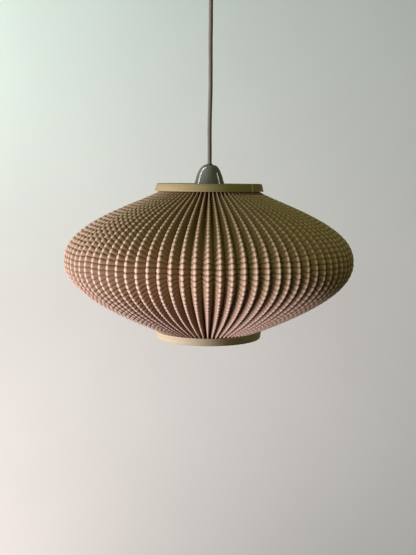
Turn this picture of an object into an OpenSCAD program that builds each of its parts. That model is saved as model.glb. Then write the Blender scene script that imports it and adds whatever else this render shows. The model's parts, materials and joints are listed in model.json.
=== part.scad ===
// Pendant lamp with an accordion-pleated paper lantern between two bentwood hoops.
// It hangs on its flex from a ceiling cup. The origin is the middle of the ceiling plate's
// upper face, +Z is up, and every piece lies below it. Lamp pieces are drawn from the top
// hoop's upper rim and then lowered by lamp_drop. Lengths are in millimetres.

/* [Shade] */
// Diameter of the lantern at its widest, over the pleat crests
shade_d = 420; // [380:2:440]
// Height of the paper that shows between the two hoops
shade_h = 204; // [190:1:220]
// Wall of the plain skin that holds the pleated paper's place
skin_t = 0.8; // [0.6:0.1:1.2]

/* [Hoops] */
// Outer diameter of the top hoop at its upper rim
top_rim_d = 152.6; // [140:0.2:156]
// Outer diameter of the top hoop where the paper leaves it
top_hoop_d = 158.4; // [158:0.2:170]
// Outer diameter of the bottom hoop where the paper enters it
bottom_hoop_d = 157.2; // [156:0.2:170]
// Outer diameter of the bottom hoop at its lower rim
bottom_rim_d = 154.4; // [150:0.2:156]
// Height of each hoop
hoop_h = 11; // [9:0.5:14]
// Thickness of the bentwood
hoop_t = 2.6; // [2:0.1:3]

/* [Lampholder] */
// Height of the dome cap above the top hoop's rim
cap_top = 27.3; // [24:0.1:32]
// Radius of the dome cap at the level of the top hoop's rim
cap_r = 21.3; // [21:0.1:24]
// Diameter of the flex
cord_d = 6; // [5:0.1:6]

/* [Bulb] */
// Largest diameter of the bulb's glass
bulb_d = 60; // [45:1:60]
// Length of the bulb from its centre contact to the end of the glass
bulb_len = 104; // [95:1:115]

/* [Ceiling cup] */
// Diameter of the cup where it meets the ceiling
cup_d = 90; // [84:1:110]
// Height of the cup
cup_h = 48; // [46:1:60]
// Distance between the two ceiling screws
screw_pitch = 50; // [44:1:54]

/* [Hidden] */
$fn = 96;

// The flex hangs along these points, with the slight bends that a rolled-up cord keeps
cord_route = [
    [0, 0, -100], [0, 0, -116], [0.1, 0, -132], [0.1, 0, -148], [0, 0, -164], [0.1, 0, -180],
    [0.3, 0, -196], [0.4, 0, -212], [0.5, 0, -228], [0.3, 0, -244], [0, 0, -260], [-0.3, 0, -276],
    [-0.4, 0, -292], [-0.2, 0, -308], [0, 0, -324], [0, 0, -338]
];
cord_r = cord_d / 2;
cord_sides = 12;
core_r = 1.1;
core_sides = 8;
gap = 0.05; // clearance of parts that screw or slip together
slide_gap = 0.08; // clearance of parts that a joint moves along each other

// Ceiling fitting, measured down from the ceiling
plate_r = 34;
plate_t = 2;
screw_hole_r = 2.4;
supply_hole_r = 5;
supply_hole_y = 16;
strap_t = 1.6;
strap_w = 14;
strap_leg_y = 24;
strap_foot = 8;
strap_z = -36;
nipple_r = 5;
nipple_bore_r = 3.6;
nipple_top_z = -29;
nipple_end_z = -58;
lock_nut_h = 4;
lock_nut_r = 9;
block_size = [22, 11, 9];
block_wire_x = 13.5;
clamp_size = [18, 5, 8];
clamp_slit = 0.4;
clamp_screw_x = 6;
tail_top_z = -18;
cup_wall = 1.5;
cup_taper = 2.5;
cup_corner_r = 8;
cup_rim_gap = 0.6;
cup_hole_r = 5.6;
cup_nut_r = 9;
cup_nut_h = 6;
gland_r = 4.9;
gland_bore_r = cord_r + gap;
gland_end_z = -80;
relief_pivot_z = -82;
relief_ball_r = 4.6;
relief_tip_r = 3.9;
relief_tip_z = -98.8;
tail_end_z = relief_pivot_z + relief_ball_r + 0.4;

// Lampholder, measured from the top hoop's rim
cap_power = 0.28;
cap_wall = 1.5;
cap_base_z = -4;
cap_steps = 18;
flange_r = 24;
flange_h = 2;
bush_r = 4;
bush_top_z = cap_top + 1.2;
bush_root_z = 20;
lamp_drop = bush_top_z - cord_route[len(cord_route) - 1].z;
skirt_r = 19;
skirt_wall = 2;
skirt_top_z = 2;
skirt_end_z = -38;
insert_r = 16.8;
insert_z = [-4, 4];
shell_r = 13.35;
shell_wall = 0.6;
shell_end_z = -30;
contact_z = -7.5;
terminal_x = 8;
grip_z = 11;
grip_size = [22, 5, 4];
grip_screw_x = 7.5;
ring_h = 8;
ring_r = 26;
spider_t = 1.2;
spider_r = 27;
spider_arms = 3;
arm_w = 8;
tab_h = 5.2;
rivet_r = 1.5;

// Shade, measured from the top hoop's rim
top_hub_r = 72.8;
bottom_hub_r = 77.6;
top_collar_r = top_rim_d / 2 - hoop_t - 0.4;
bottom_collar_r = bottom_rim_d / 2 - hoop_t - 0.1;
paper_top_z = -hoop_h;
paper_end_z = -hoop_h - shade_h;
paper_mid_z = (paper_top_z + paper_end_z) / 2;
collar_inset = 2;
top_ring_r = 57.5;
bottom_ring_r = 60.5;
liner_t = 2.5;
lobe_steps = 20;

// Bulb, measured from the top hoop's rim
bulb_cap_r = shell_r - 0.1;
bulb_cap_wall = 0.4;
bulb_cap_z = [-35, -9.5];
bulb_tip_r = 6;
bulb_tip_z = -8;
bulb_contact_r = 4.5;
glass_t = 1;
glass_shoulder_a = 35;
neck_steps = 12;

// Crest radius of the lantern at t, from -1 at the bottom hoop to 1 at the top hoop.
// Each half has its own fullness, and both halves reach the full radius at the middle.
function lobe_r(t) =
    t > 0
        ? top_hub_r + (shade_d / 2 - top_hub_r) * pow(max(0, 1 - pow(t, 2.35)), 1.25)
        : bottom_hub_r + (shade_d / 2 - bottom_hub_r) * pow(max(0, 1 - t * t), 1.1);

// The skin's outer line, as [radius, height], from the top hoop down
function lobe_point(i) =
    let (t = 1 - i / lobe_steps)
    [lobe_r(t), paper_mid_z + t * shade_h / 2];

// Unit vector square to the skin, pointing inwards
function lobe_normal(i) =
    let (a = lobe_point(max(0, i - 0.5)), b = lobe_point(min(2 * lobe_steps, i + 0.5)), d = b - a)
    [d.y, -d.x] / norm(d);

// Dome cap's radius at depth d below its top
function cap_radius(d, r, h) = r * pow(max(0, d) / h, cap_power);

// Half outline of a dome of radius r at h below top_z, carried down to base_z
function cap_outline(r, h, top_z, base_z) = concat(
    [[0, base_z]],
    [for (i = [cap_steps : -1 : 0])
        let (d = (top_z - base_z) * pow(i / cap_steps, 2.5)) [cap_radius(d, r, h), top_z - d]]
);

// Point on a cubic curve with end points a, d and handles b, c
function cubic(a, b, c, d, u) =
    a * pow(1 - u, 3) + 3 * b * u * pow(1 - u, 2) + 3 * c * u * u * (1 - u) + d * pow(u, 3);

function unit(v) = v / norm(v);

// Direction of travel at point i of a path
function heading(path, i) = unit(path[min(len(path) - 1, i + 1)] - path[max(0, i - 1)]);

// Round tube along a path that stays near the XZ plane
module tube(path, r, sides) {
    rings = [
        for (i = [0 : len(path) - 1])
            let (t = heading(path, i), side = unit([t.z, 0, -t.x]))
            for (k = [0 : sides - 1])
                let (a = 360 * k / sides) path[i] + r * (cos(a) * side + sin(a) * [0, 1, 0])
    ];
    walls = [
        for (i = [0 : len(path) - 2], k = [0 : sides - 1])
            let (n = (k + 1) % sides, lo = i * sides, hi = lo + sides)
            [lo + k, lo + n, hi + n, hi + k]
    ];
    first = [for (k = [sides - 1 : -1 : 0]) k];
    last = [for (k = [0 : sides - 1]) (len(path) - 1) * sides + k];
    polyhedron(rings, concat([first], walls, [last]), convexity = 4);
}

// Straight round tube between two heights
module pipe(r, bore_r, low_z, high_z) {
    difference() {
        translate([0, 0, low_z]) cylinder(h = high_z - low_z, r = r);
        translate([0, 0, low_z - 1]) cylinder(h = high_z - low_z + 2, r = bore_r);
    }
}

// Conical band with the same wall all the way, from its upper to its lower radius
module band(high_r, low_r, wall, low_z, high_z) {
    rotate_extrude() polygon([
        [high_r - wall, high_z], [high_r, high_z], [low_r, low_z], [low_r - wall, low_z]
    ]);
}

module lower() {
    translate([0, 0, -lamp_drop]) children();
}

// ---- Ceiling fitting ----

module ceiling_plate() {
    color("silver") difference() {
        translate([0, 0, -plate_t]) cylinder(h = plate_t, r = plate_r);
        for (side = [-1, 1]) {
            translate([side * screw_pitch / 2, 0, -plate_t - 1])
                cylinder(h = plate_t + 2, r = screw_hole_r);
        }
        translate([0, supply_hole_y, -plate_t - 1]) cylinder(h = plate_t + 2, r = supply_hole_r);
    }
}

// Strap bent into a stirrup: two feet on the plate, two legs and a cross bar with a hole
module hanger_bracket() {
    leg_h = -plate_t - strap_z;
    color("silver") difference() {
        union() {
            translate([-strap_w / 2, -strap_leg_y, strap_z]) cube([strap_w, 2 * strap_leg_y, strap_t]);
            for (side = [-1, 1]) {
                translate([-strap_w / 2, side * strap_leg_y - (side > 0 ? strap_t : 0), strap_z])
                    cube([strap_w, strap_t, leg_h]);
                translate([
                    -strap_w / 2,
                    side > 0 ? strap_leg_y - strap_t : -strap_leg_y - strap_foot + strap_t,
                    -plate_t - strap_t
                ])
                    cube([strap_w, strap_foot, strap_t]);
            }
        }
        translate([0, 0, strap_z - 1]) cylinder(h = strap_t + 2, r = nipple_r + gap);
    }
}

module hanger_nipple() {
    color("goldenrod") pipe(nipple_r, nipple_bore_r, nipple_end_z, nipple_top_z);
}

module nipple_lock_nut() {
    color("goldenrod") difference() {
        translate([0, 0, strap_z + strap_t]) cylinder(h = lock_nut_h, r = lock_nut_r, $fn = 6);
        translate([0, 0, strap_z]) cylinder(h = lock_nut_h + 4, r = nipple_r + gap);
    }
}

// Two-way terminal block under the plate, with a wire channel in each end
module terminal_block() {
    color("white") difference() {
        translate([-block_size.x / 2, -block_size.y / 2, -plate_t - block_size.z]) cube(block_size);
        for (side = [-1, 1]) {
            translate([side * (block_size.x / 2 + 1), 0, -plate_t - block_size.z / 2])
                rotate([0, -side * 90, 0])
                    cylinder(h = 9, r = 1.5);
            translate([side * 6, 0, -plate_t - block_size.z - 1]) cylinder(h = 4.4, r = 1.6);
        }
    }
}

module terminal_screws() {
    color("goldenrod") for (side = [-1, 1]) {
        translate([side * 6, 0, -plate_t - block_size.z + 0.4]) difference() {
            cylinder(h = 2.8, r = 1.5);
            translate([-2, -0.25, -1]) cube([4, 0.5, 1.6]);
        }
    }
}

module ceiling_cord_tail() {
    color("gray") translate([0, 0, tail_end_z]) cylinder(h = tail_top_z - tail_end_z, r = cord_r);
}

module ceiling_wires() {
    wire_z = -plate_t - block_size.z / 2;
    for (side = [-1, 1]) {
        color(side > 0 ? "saddlebrown" : "royalblue") tube([
            [side * 1.4, 0, tail_top_z], [side * 1.4, 0, tail_top_z + 1],
            [side * 2.4, 0, tail_top_z + 2.4], [side * 6, 0, tail_top_z + 3.6],
            [side * 11, 0, tail_top_z + 4.2],
            [side * block_wire_x, 0, tail_top_z + 6.5], [side * block_wire_x, 0, wire_z - 1.5],
            [side * (block_wire_x - 1), 0, wire_z], [side * 8, 0, wire_z]
        ], core_r, core_sides);
    }
}

// Two jaws that pinch the flex above the nipple and carry the lamp's weight
module cord_clamp() {
    color("whitesmoke") for (side = [-1, 1]) {
        difference() {
            translate([
                -clamp_size.x / 2,
                side > 0 ? clamp_slit / 2 : -clamp_size.y - clamp_slit / 2,
                nipple_top_z
            ])
                cube(clamp_size);
            translate([0, 0, nipple_top_z - 1]) cylinder(h = clamp_size.z + 2, r = cord_r);
            for (end = [-1, 1]) {
                translate([end * clamp_screw_x, 0, nipple_top_z + clamp_size.z / 2])
                    rotate([90, 0, 0])
                        cylinder(h = 4 * clamp_size.y, r = 1.3, center = true);
            }
        }
    }
}

module cord_clamp_screws() {
    reach = clamp_size.y + clamp_slit / 2;
    color("silver") for (end = [-1, 1]) {
        translate([end * clamp_screw_x, 0, nipple_top_z + clamp_size.z / 2]) rotate([90, 0, 0]) {
            cylinder(h = 2 * reach, r = 1.25, center = true);
            translate([0, 0, reach]) cylinder(h = 1.4, r = 2.4);
            translate([0, 0, -reach - 1.4]) cylinder(h = 1.4, r = 2.4);
        }
    }
}

// Sleeve screwed into the nipple, with a round seat for the bend relief in its mouth
module cord_gland() {
    color("whitesmoke") difference() {
        union() {
            pipe(gland_r, gland_bore_r, gland_end_z, nipple_end_z);
            pipe(nipple_bore_r - gap, gland_bore_r, nipple_end_z, nipple_end_z + 6);
        }
        translate([0, 0, relief_pivot_z]) sphere(r = relief_ball_r + 0.1);
    }
}

// Outline of the cup, drawn inset all round by its wall to make the hollow
module cup_form(inset) {
    top_r = cup_d / 2 - inset;
    low_r = cup_d / 2 - cup_taper - inset;
    corner_r = cup_corner_r - inset;
    low_z = -cup_h + inset;
    rotate_extrude() polygon(concat(
        [[0, low_z]],
        [for (a = [-90 : 10 : 0])
            [low_r - corner_r + corner_r * cos(a), low_z + corner_r + corner_r * sin(a)]],
        [[top_r, -cup_rim_gap + inset], [0, -cup_rim_gap + inset]]
    ));
}

module canopy_cup() {
    color("white") difference() {
        cup_form(0);
        cup_form(cup_wall);
        translate([0, 0, -cup_h - 1]) cylinder(h = cup_wall + 2, r = cup_hole_r);
    }
}

// Knurled ring nut that holds the cup up
module canopy_nut() {
    color("goldenrod") difference() {
        pipe(cup_nut_r, nipple_r + slide_gap, -cup_h - cup_nut_h, -cup_h);
        for (a = [0 : 20 : 359]) {
            rotate([0, 0, a]) translate([cup_nut_r + 0.5, 0, -cup_h - cup_nut_h - 1])
                cylinder(h = cup_nut_h + 2, r = 0.9, $fn = 24);
        }
    }
}

// Tapered rubber sleeve: a ball in the gland's seat, then a cone down to the flex
module bend_relief() {
    color("gray") rotate_extrude() polygon(concat(
        [[0, relief_tip_z], [relief_tip_r, relief_tip_z]],
        [for (a = [0 : 10 : 90])
            [relief_ball_r * cos(a), relief_pivot_z + relief_ball_r * sin(a)]]
    ));
}

module flex_cord() {
    color("gray") tube(cord_route, cord_r, cord_sides);
}

// ---- Lampholder ----

module holder_cap() {
    color("lightgray") lower() difference() {
        union() {
            rotate_extrude() polygon(cap_outline(cap_r, cap_top, cap_top, cap_base_z));
            translate([0, 0, cap_base_z]) cylinder(h = flange_h, r = flange_r);
        }
        rotate_extrude() polygon(cap_outline(
            cap_r - cap_wall, cap_top - cap_wall, cap_top - cap_wall, cap_base_z - 1
        ));
        translate([0, 0, cap_top - 4]) cylinder(h = 8, r = bush_r + gap);
    }
}

// Bush in the top of the dome, where the flex enters
module cord_bush() {
    color("darkgray") lower() pipe(bush_r, cord_r + gap, bush_root_z, bush_top_z);
}

module holder_cord_tail() {
    color("gray") lower() translate([0, 0, grip_z - 1])
        cylinder(h = bush_top_z - grip_z + 1, r = cord_r);
}

module holder_wires() {
    lower() for (side = [-1, 1]) {
        color(side > 0 ? "saddlebrown" : "royalblue") tube([
            [side * 1.4, 0, grip_z - 1], [side * 1.4, 0, grip_z - 2],
            [side * 2.4, 0, grip_z - 3.4], [side * 3.4, 0, grip_z - 4.4],
            [side * (terminal_x - 4), 0, insert_z[1] + 1.2]
        ], core_r - 0.3, core_sides);
    }
}

// Bar across the dome that pinches the flex
module holder_grip_bar() {
    color("whitesmoke") lower() difference() {
        translate([-grip_size.x / 2, -grip_size.y, grip_z]) cube(grip_size);
        translate([0, 0, grip_z - 1]) cylinder(h = grip_size.z + 2, r = cord_r);
        for (side = [-1, 1]) {
            translate([side * grip_screw_x, -grip_size.y / 2, grip_z - 1])
                cylinder(h = grip_size.z + 2, r = 1.3);
        }
    }
}

module holder_grip_screws() {
    color("silver") lower() for (side = [-1, 1]) {
        translate([side * grip_screw_x, -grip_size.y / 2, grip_z - 4]) {
            cylinder(h = grip_size.z + 4, r = 1.25);
            translate([0, 0, grip_size.z + 4]) cylinder(h = 1.4, r = 2.3);
        }
    }
}

// Ceramic disc that carries the screw shell below and the terminals above
module holder_insert() {
    color("ivory") lower() difference() {
        translate([0, 0, insert_z[0]]) cylinder(h = insert_z[1] - insert_z[0], r = insert_r);
        for (side = [-1, 1]) {
            translate([side * terminal_x, 0, insert_z[1] - 5]) cylinder(h = 6, r = 1.8);
        }
    }
}

module holder_terminal_screws() {
    color("goldenrod") lower() for (side = [-1, 1]) {
        translate([side * terminal_x, 0, insert_z[1] - 4.5]) difference() {
            union() {
                cylinder(h = 5, r = 1.75);
                translate([0, 0, 4.5]) cylinder(h = 1.6, r = 3);
            }
            translate([-4, -0.35, 5.4]) cube([8, 0.7, 2]);
        }
    }
}

module screw_shell() {
    color("goldenrod") lower() pipe(shell_r + shell_wall, shell_r, shell_end_z, insert_z[0]);
}

// Springy tongue that meets the bulb's centre contact
module centre_contact() {
    lift = insert_z[0] - contact_z;
    color("goldenrod") lower() translate([-3, -2, contact_z]) {
        cube([9, 4, 0.6]);
        translate([8.4, 0, 0]) cube([0.6, 4, lift]);
    }
}

module holder_skirt() {
    color("lightgray") lower() pipe(skirt_r, skirt_r - skirt_wall, skirt_end_z, skirt_top_z);
}

// ---- Shade and its fitter ----

// Threaded ring that clamps the spider against the lampholder's flange
module shade_ring() {
    high_z = cap_base_z - spider_t;
    color("lightgray") lower() difference() {
        pipe(ring_r, skirt_r + slide_gap, high_z - ring_h, high_z);
        for (a = [0 : 30 : 359]) {
            rotate([0, 0, a]) translate([ring_r + 1.2, 0, high_z - ring_h - 1])
                cylinder(h = ring_h + 2, r = 2.2, $fn = 32);
        }
    }
}

// Ring with three arms, each with a tab turned down against the inner ring
module spider() {
    low_z = cap_base_z - spider_t;
    rim_r = top_ring_r - liner_t;
    color("silver") lower() difference() {
        union() {
            pipe(spider_r, skirt_r + 0.2, low_z, cap_base_z);
            for (i = [0 : spider_arms - 1]) {
                rotate([0, 0, 90 + i * 360 / spider_arms]) {
                    translate([spider_r - 2, -arm_w / 2, low_z])
                        cube([rim_r - 0.2 - spider_r + 2, arm_w, spider_t]);
                    translate([rim_r - 0.2 - spider_t, -arm_w / 2, low_z - tab_h])
                        cube([spider_t, arm_w, tab_h + spider_t]);
                }
            }
        }
        rivet_bodies(rivet_r + gap, liner_t + 1);
    }
}

// Round rods through the tabs and the inner ring, ending at reach past the ring's inner face
module rivet_bodies(r, reach) {
    rivet_z = cap_base_z - spider_t - tab_h / 2;
    rim_r = top_ring_r - liner_t;
    back = spider_t + 0.4;
    for (i = [0 : spider_arms - 1]) {
        rotate([0, 0, 90 + i * 360 / spider_arms]) translate([rim_r - back, 0, rivet_z])
            rotate([0, 90, 0])
                cylinder(h = back + reach, r = r);
    }
}

module spider_rivets() {
    head_x = top_ring_r - liner_t - spider_t - 0.2;
    rivet_z = cap_base_z - spider_t - tab_h / 2;
    color("silver") lower() {
        rivet_bodies(rivet_r, liner_t - 0.3);
        for (i = [0 : spider_arms - 1]) {
            rotate([0, 0, 90 + i * 360 / spider_arms]) translate([head_x - 0.8, 0, rivet_z])
                rotate([0, 90, 0])
                    cylinder(h = 0.8, r = 2.4);
        }
    }
}

module top_inner_ring() {
    color("burlywood") lower() difference() {
        pipe(top_ring_r, top_ring_r - liner_t, -hoop_h, -collar_inset);
        rivet_bodies(rivet_r + gap, liner_t + 1);
    }
}

module top_hoop() {
    color("burlywood") lower() band(top_rim_d / 2, top_hoop_d / 2, hoop_t, -hoop_h, 0);
}

// Plain skin of the pleated paper: a flat brim inside each hoop and the lobe between them
module pleated_shade() {
    top_brim_z = -collar_inset;
    low_brim_z = paper_end_z - hoop_h + collar_inset;
    outer = [for (i = [0 : 2 * lobe_steps]) lobe_point(i)];
    inner = [for (i = [2 * lobe_steps : -1 : 0]) lobe_point(i) + skin_t * lobe_normal(i)];
    color("bisque") lower() rotate_extrude() polygon(concat(
        [[top_ring_r + gap, top_brim_z], [top_collar_r, top_brim_z], [top_hub_r, paper_top_z - 0.1]],
        [for (i = [1 : 2 * lobe_steps]) outer[i]],
        [[bottom_collar_r, paper_end_z], [bottom_collar_r, low_brim_z]],
        [[bottom_ring_r + gap, low_brim_z], [bottom_ring_r + gap, low_brim_z + skin_t]],
        [[bottom_collar_r - skin_t, low_brim_z + skin_t], [bottom_collar_r - skin_t, paper_end_z + skin_t]],
        [for (i = [1 : 2 * lobe_steps - 1]) inner[i]],
        [[top_hub_r - skin_t, paper_top_z - 0.1], [top_collar_r - skin_t, top_brim_z - skin_t]],
        [[top_ring_r + gap, top_brim_z - skin_t]]
    ));
}

module bottom_hoop() {
    color("burlywood") lower()
        band(bottom_hoop_d / 2, bottom_rim_d / 2, hoop_t, paper_end_z - hoop_h, paper_end_z);
}

module bottom_inner_ring() {
    color("burlywood") lower() pipe(
        bottom_ring_r, bottom_ring_r - liner_t,
        paper_end_z - hoop_h + collar_inset, paper_end_z - collar_inset / 2
    );
}

// ---- Bulb ----

// Half outline of the glass, inset all round by its wall to make the hollow
module glass_form(inset) {
    ball_r = bulb_d / 2 - inset;
    ball_z = contact_z - bulb_len + bulb_d / 2;
    neck_r = bulb_cap_r - bulb_cap_wall - gap - inset;
    neck_z = bulb_cap_z[0];
    joint = [ball_r * cos(glass_shoulder_a), ball_z + ball_r * sin(glass_shoulder_a)];
    lean = 12 * [-sin(glass_shoulder_a), cos(glass_shoulder_a)];
    rotate_extrude() polygon(concat(
        [[0, neck_z + 4 + (inset > 0 ? 1 : 0)], [neck_r, neck_z + 4 + (inset > 0 ? 1 : 0)]],
        [for (i = [0 : neck_steps])
            cubic([neck_r, neck_z], [neck_r, neck_z - 12], joint + lean, joint, i / neck_steps)],
        [for (a = [glass_shoulder_a - 5 : -5 : -85]) [ball_r * cos(a), ball_z + ball_r * sin(a)]],
        [[0, ball_z - ball_r]]
    ));
}

module bulb_glass() {
    color("white") lower() difference() {
        glass_form(0);
        glass_form(glass_t);
    }
}

module bulb_cap() {
    color("silver") lower()
        pipe(bulb_cap_r, bulb_cap_r - bulb_cap_wall, bulb_cap_z[0], bulb_cap_z[1]);
}

module bulb_insulator() {
    plug_h = 2.5;
    color("dimgray") lower() {
        translate([0, 0, bulb_cap_z[1] - plug_h])
            cylinder(h = plug_h, r = bulb_cap_r - bulb_cap_wall - gap);
        translate([0, 0, bulb_cap_z[1]])
            cylinder(h = bulb_tip_z - bulb_cap_z[1], r1 = bulb_cap_r - 2, r2 = bulb_tip_r);
    }
}

module bulb_contact() {
    color("silver") lower() translate([0, 0, bulb_tip_z])
        cylinder(h = contact_z - bulb_tip_z, r = bulb_contact_r);
}

ceiling_plate();
hanger_bracket();
hanger_nipple();
nipple_lock_nut();
terminal_block();
terminal_screws();
ceiling_cord_tail();
ceiling_wires();
cord_clamp();
cord_clamp_screws();
cord_gland();
canopy_cup();
canopy_nut();
bend_relief();
flex_cord();
holder_cap();
cord_bush();
holder_cord_tail();
holder_wires();
holder_grip_bar();
holder_grip_screws();
holder_insert();
holder_terminal_screws();
screw_shell();
centre_contact();
holder_skirt();
shade_ring();
spider();
spider_rivets();
top_inner_ring();
top_hoop();
pleated_shade();
bottom_hoop();
bottom_inner_ring();
bulb_glass();
bulb_cap();
bulb_insulator();
bulb_contact();
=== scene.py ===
"""Looks of the pendant lamp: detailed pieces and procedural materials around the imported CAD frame.

Everything is in metres in the frame's own axes: +Z up, the ceiling at z = 0, the viewer on the -Y side.
Outlines are written in millimetres from a named level and turned into metres by one function.
"""
import json
import math

import bmesh
import bpy
import numpy as np
from mathutils import Matrix, Vector

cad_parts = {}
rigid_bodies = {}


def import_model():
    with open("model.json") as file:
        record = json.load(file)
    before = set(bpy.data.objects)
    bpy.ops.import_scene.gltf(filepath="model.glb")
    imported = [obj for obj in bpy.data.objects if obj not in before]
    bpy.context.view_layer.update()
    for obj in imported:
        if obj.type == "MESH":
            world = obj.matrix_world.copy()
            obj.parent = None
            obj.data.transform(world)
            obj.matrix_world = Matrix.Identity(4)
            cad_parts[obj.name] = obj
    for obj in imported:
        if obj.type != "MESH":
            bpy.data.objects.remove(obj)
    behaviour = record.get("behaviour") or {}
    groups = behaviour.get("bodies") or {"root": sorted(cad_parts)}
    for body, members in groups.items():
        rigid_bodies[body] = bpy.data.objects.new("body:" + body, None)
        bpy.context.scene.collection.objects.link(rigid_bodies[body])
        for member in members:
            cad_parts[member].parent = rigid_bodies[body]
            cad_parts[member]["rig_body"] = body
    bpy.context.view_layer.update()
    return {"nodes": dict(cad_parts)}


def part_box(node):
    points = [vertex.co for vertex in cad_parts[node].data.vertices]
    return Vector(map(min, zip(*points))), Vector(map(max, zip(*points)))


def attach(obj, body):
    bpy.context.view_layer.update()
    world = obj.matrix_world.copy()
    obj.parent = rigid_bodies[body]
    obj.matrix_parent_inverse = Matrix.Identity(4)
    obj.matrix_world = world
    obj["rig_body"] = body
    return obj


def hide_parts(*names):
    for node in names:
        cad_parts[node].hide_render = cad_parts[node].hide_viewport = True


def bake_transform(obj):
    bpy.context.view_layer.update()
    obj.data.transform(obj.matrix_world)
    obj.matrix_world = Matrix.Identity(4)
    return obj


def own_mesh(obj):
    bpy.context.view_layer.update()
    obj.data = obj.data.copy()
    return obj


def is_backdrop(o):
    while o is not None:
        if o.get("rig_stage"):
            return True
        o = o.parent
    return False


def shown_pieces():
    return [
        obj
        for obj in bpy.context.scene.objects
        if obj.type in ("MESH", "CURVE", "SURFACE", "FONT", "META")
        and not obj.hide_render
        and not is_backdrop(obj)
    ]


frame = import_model()

MM = 0.001
TURN = 2 * math.pi
SCENE = bpy.context.scene
NODES = frame["nodes"]
RIM_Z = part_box("top_hoop")[1].z
HOOP_H = RIM_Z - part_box("top_hoop")[0].z
BELLY_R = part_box("pleated_shade")[1].x
LOW_RIM_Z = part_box("bottom_hoop")[0].z


# ---- Camera and flex ----

CAMERA_BACK = 1.247
CAMERA_ABOVE_RIM = 6.5 * MM
CAMERA_DOWN_DEG = 6.605
CAMERA_YAW_DEG = 0.04
CAMERA_ROLL_DEG = 0.49
LENS_MM = 55.14
SENSOR_MM = 36

CORD_D = 6 * MM
CORD_ROUTE_MM = [
    (0, 0, -100), (0, 0, -116), (0.1, 0, -132), (0.1, 0, -148), (0, 0, -164), (0.1, 0, -180),
    (0.3, 0, -196), (0.4, 0, -212), (0.5, 0, -228), (0.3, 0, -244), (0, 0, -260), (-0.3, 0, -276),
    (-0.4, 0, -292), (-0.2, 0, -308), (0, 0, -324), (0, 0, -338),
]


def make_camera():
    """The photo's view, level with the top hoop and tilted down a little."""
    data = bpy.data.cameras.new("camera")
    data.lens = LENS_MM
    data.sensor_width = SENSOR_MM
    data.sensor_fit = "AUTO"
    data.clip_start, data.clip_end = 0.05, 50
    camera = bpy.data.objects.new("camera", data)
    SCENE.collection.objects.link(camera)
    tilt = Matrix.Rotation(math.radians(90 - CAMERA_DOWN_DEG), 4, "X")
    yaw = Matrix.Rotation(math.radians(CAMERA_YAW_DEG), 4, "Z")
    roll = Matrix.Rotation(math.radians(CAMERA_ROLL_DEG), 4, "Z")
    place = Matrix.Translation((0, -CAMERA_BACK, RIM_Z + CAMERA_ABOVE_RIM))
    camera.matrix_world = place @ yaw @ tilt @ roll
    SCENE.camera = camera


def curve_piece(name, points, radius, material):
    """Round cord through a list of points in metres."""
    data = bpy.data.curves.new(name, "CURVE")
    data.dimensions = "3D"
    data.bevel_depth = radius
    data.bevel_resolution = 6
    data.resolution_u = 6
    data.use_fill_caps = True
    spline = data.splines.new("BEZIER")
    spline.bezier_points.add(len(points) - 1)
    for knot, point in zip(spline.bezier_points, points):
        knot.co = point
        knot.handle_left_type = knot.handle_right_type = "AUTO"
    obj = bpy.data.objects.new(name, data)
    SCENE.collection.objects.link(obj)
    data.materials.append(material)
    return obj


# ---- Node helpers ----

NOISE_SPAN = (0.3, 0.7)


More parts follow.
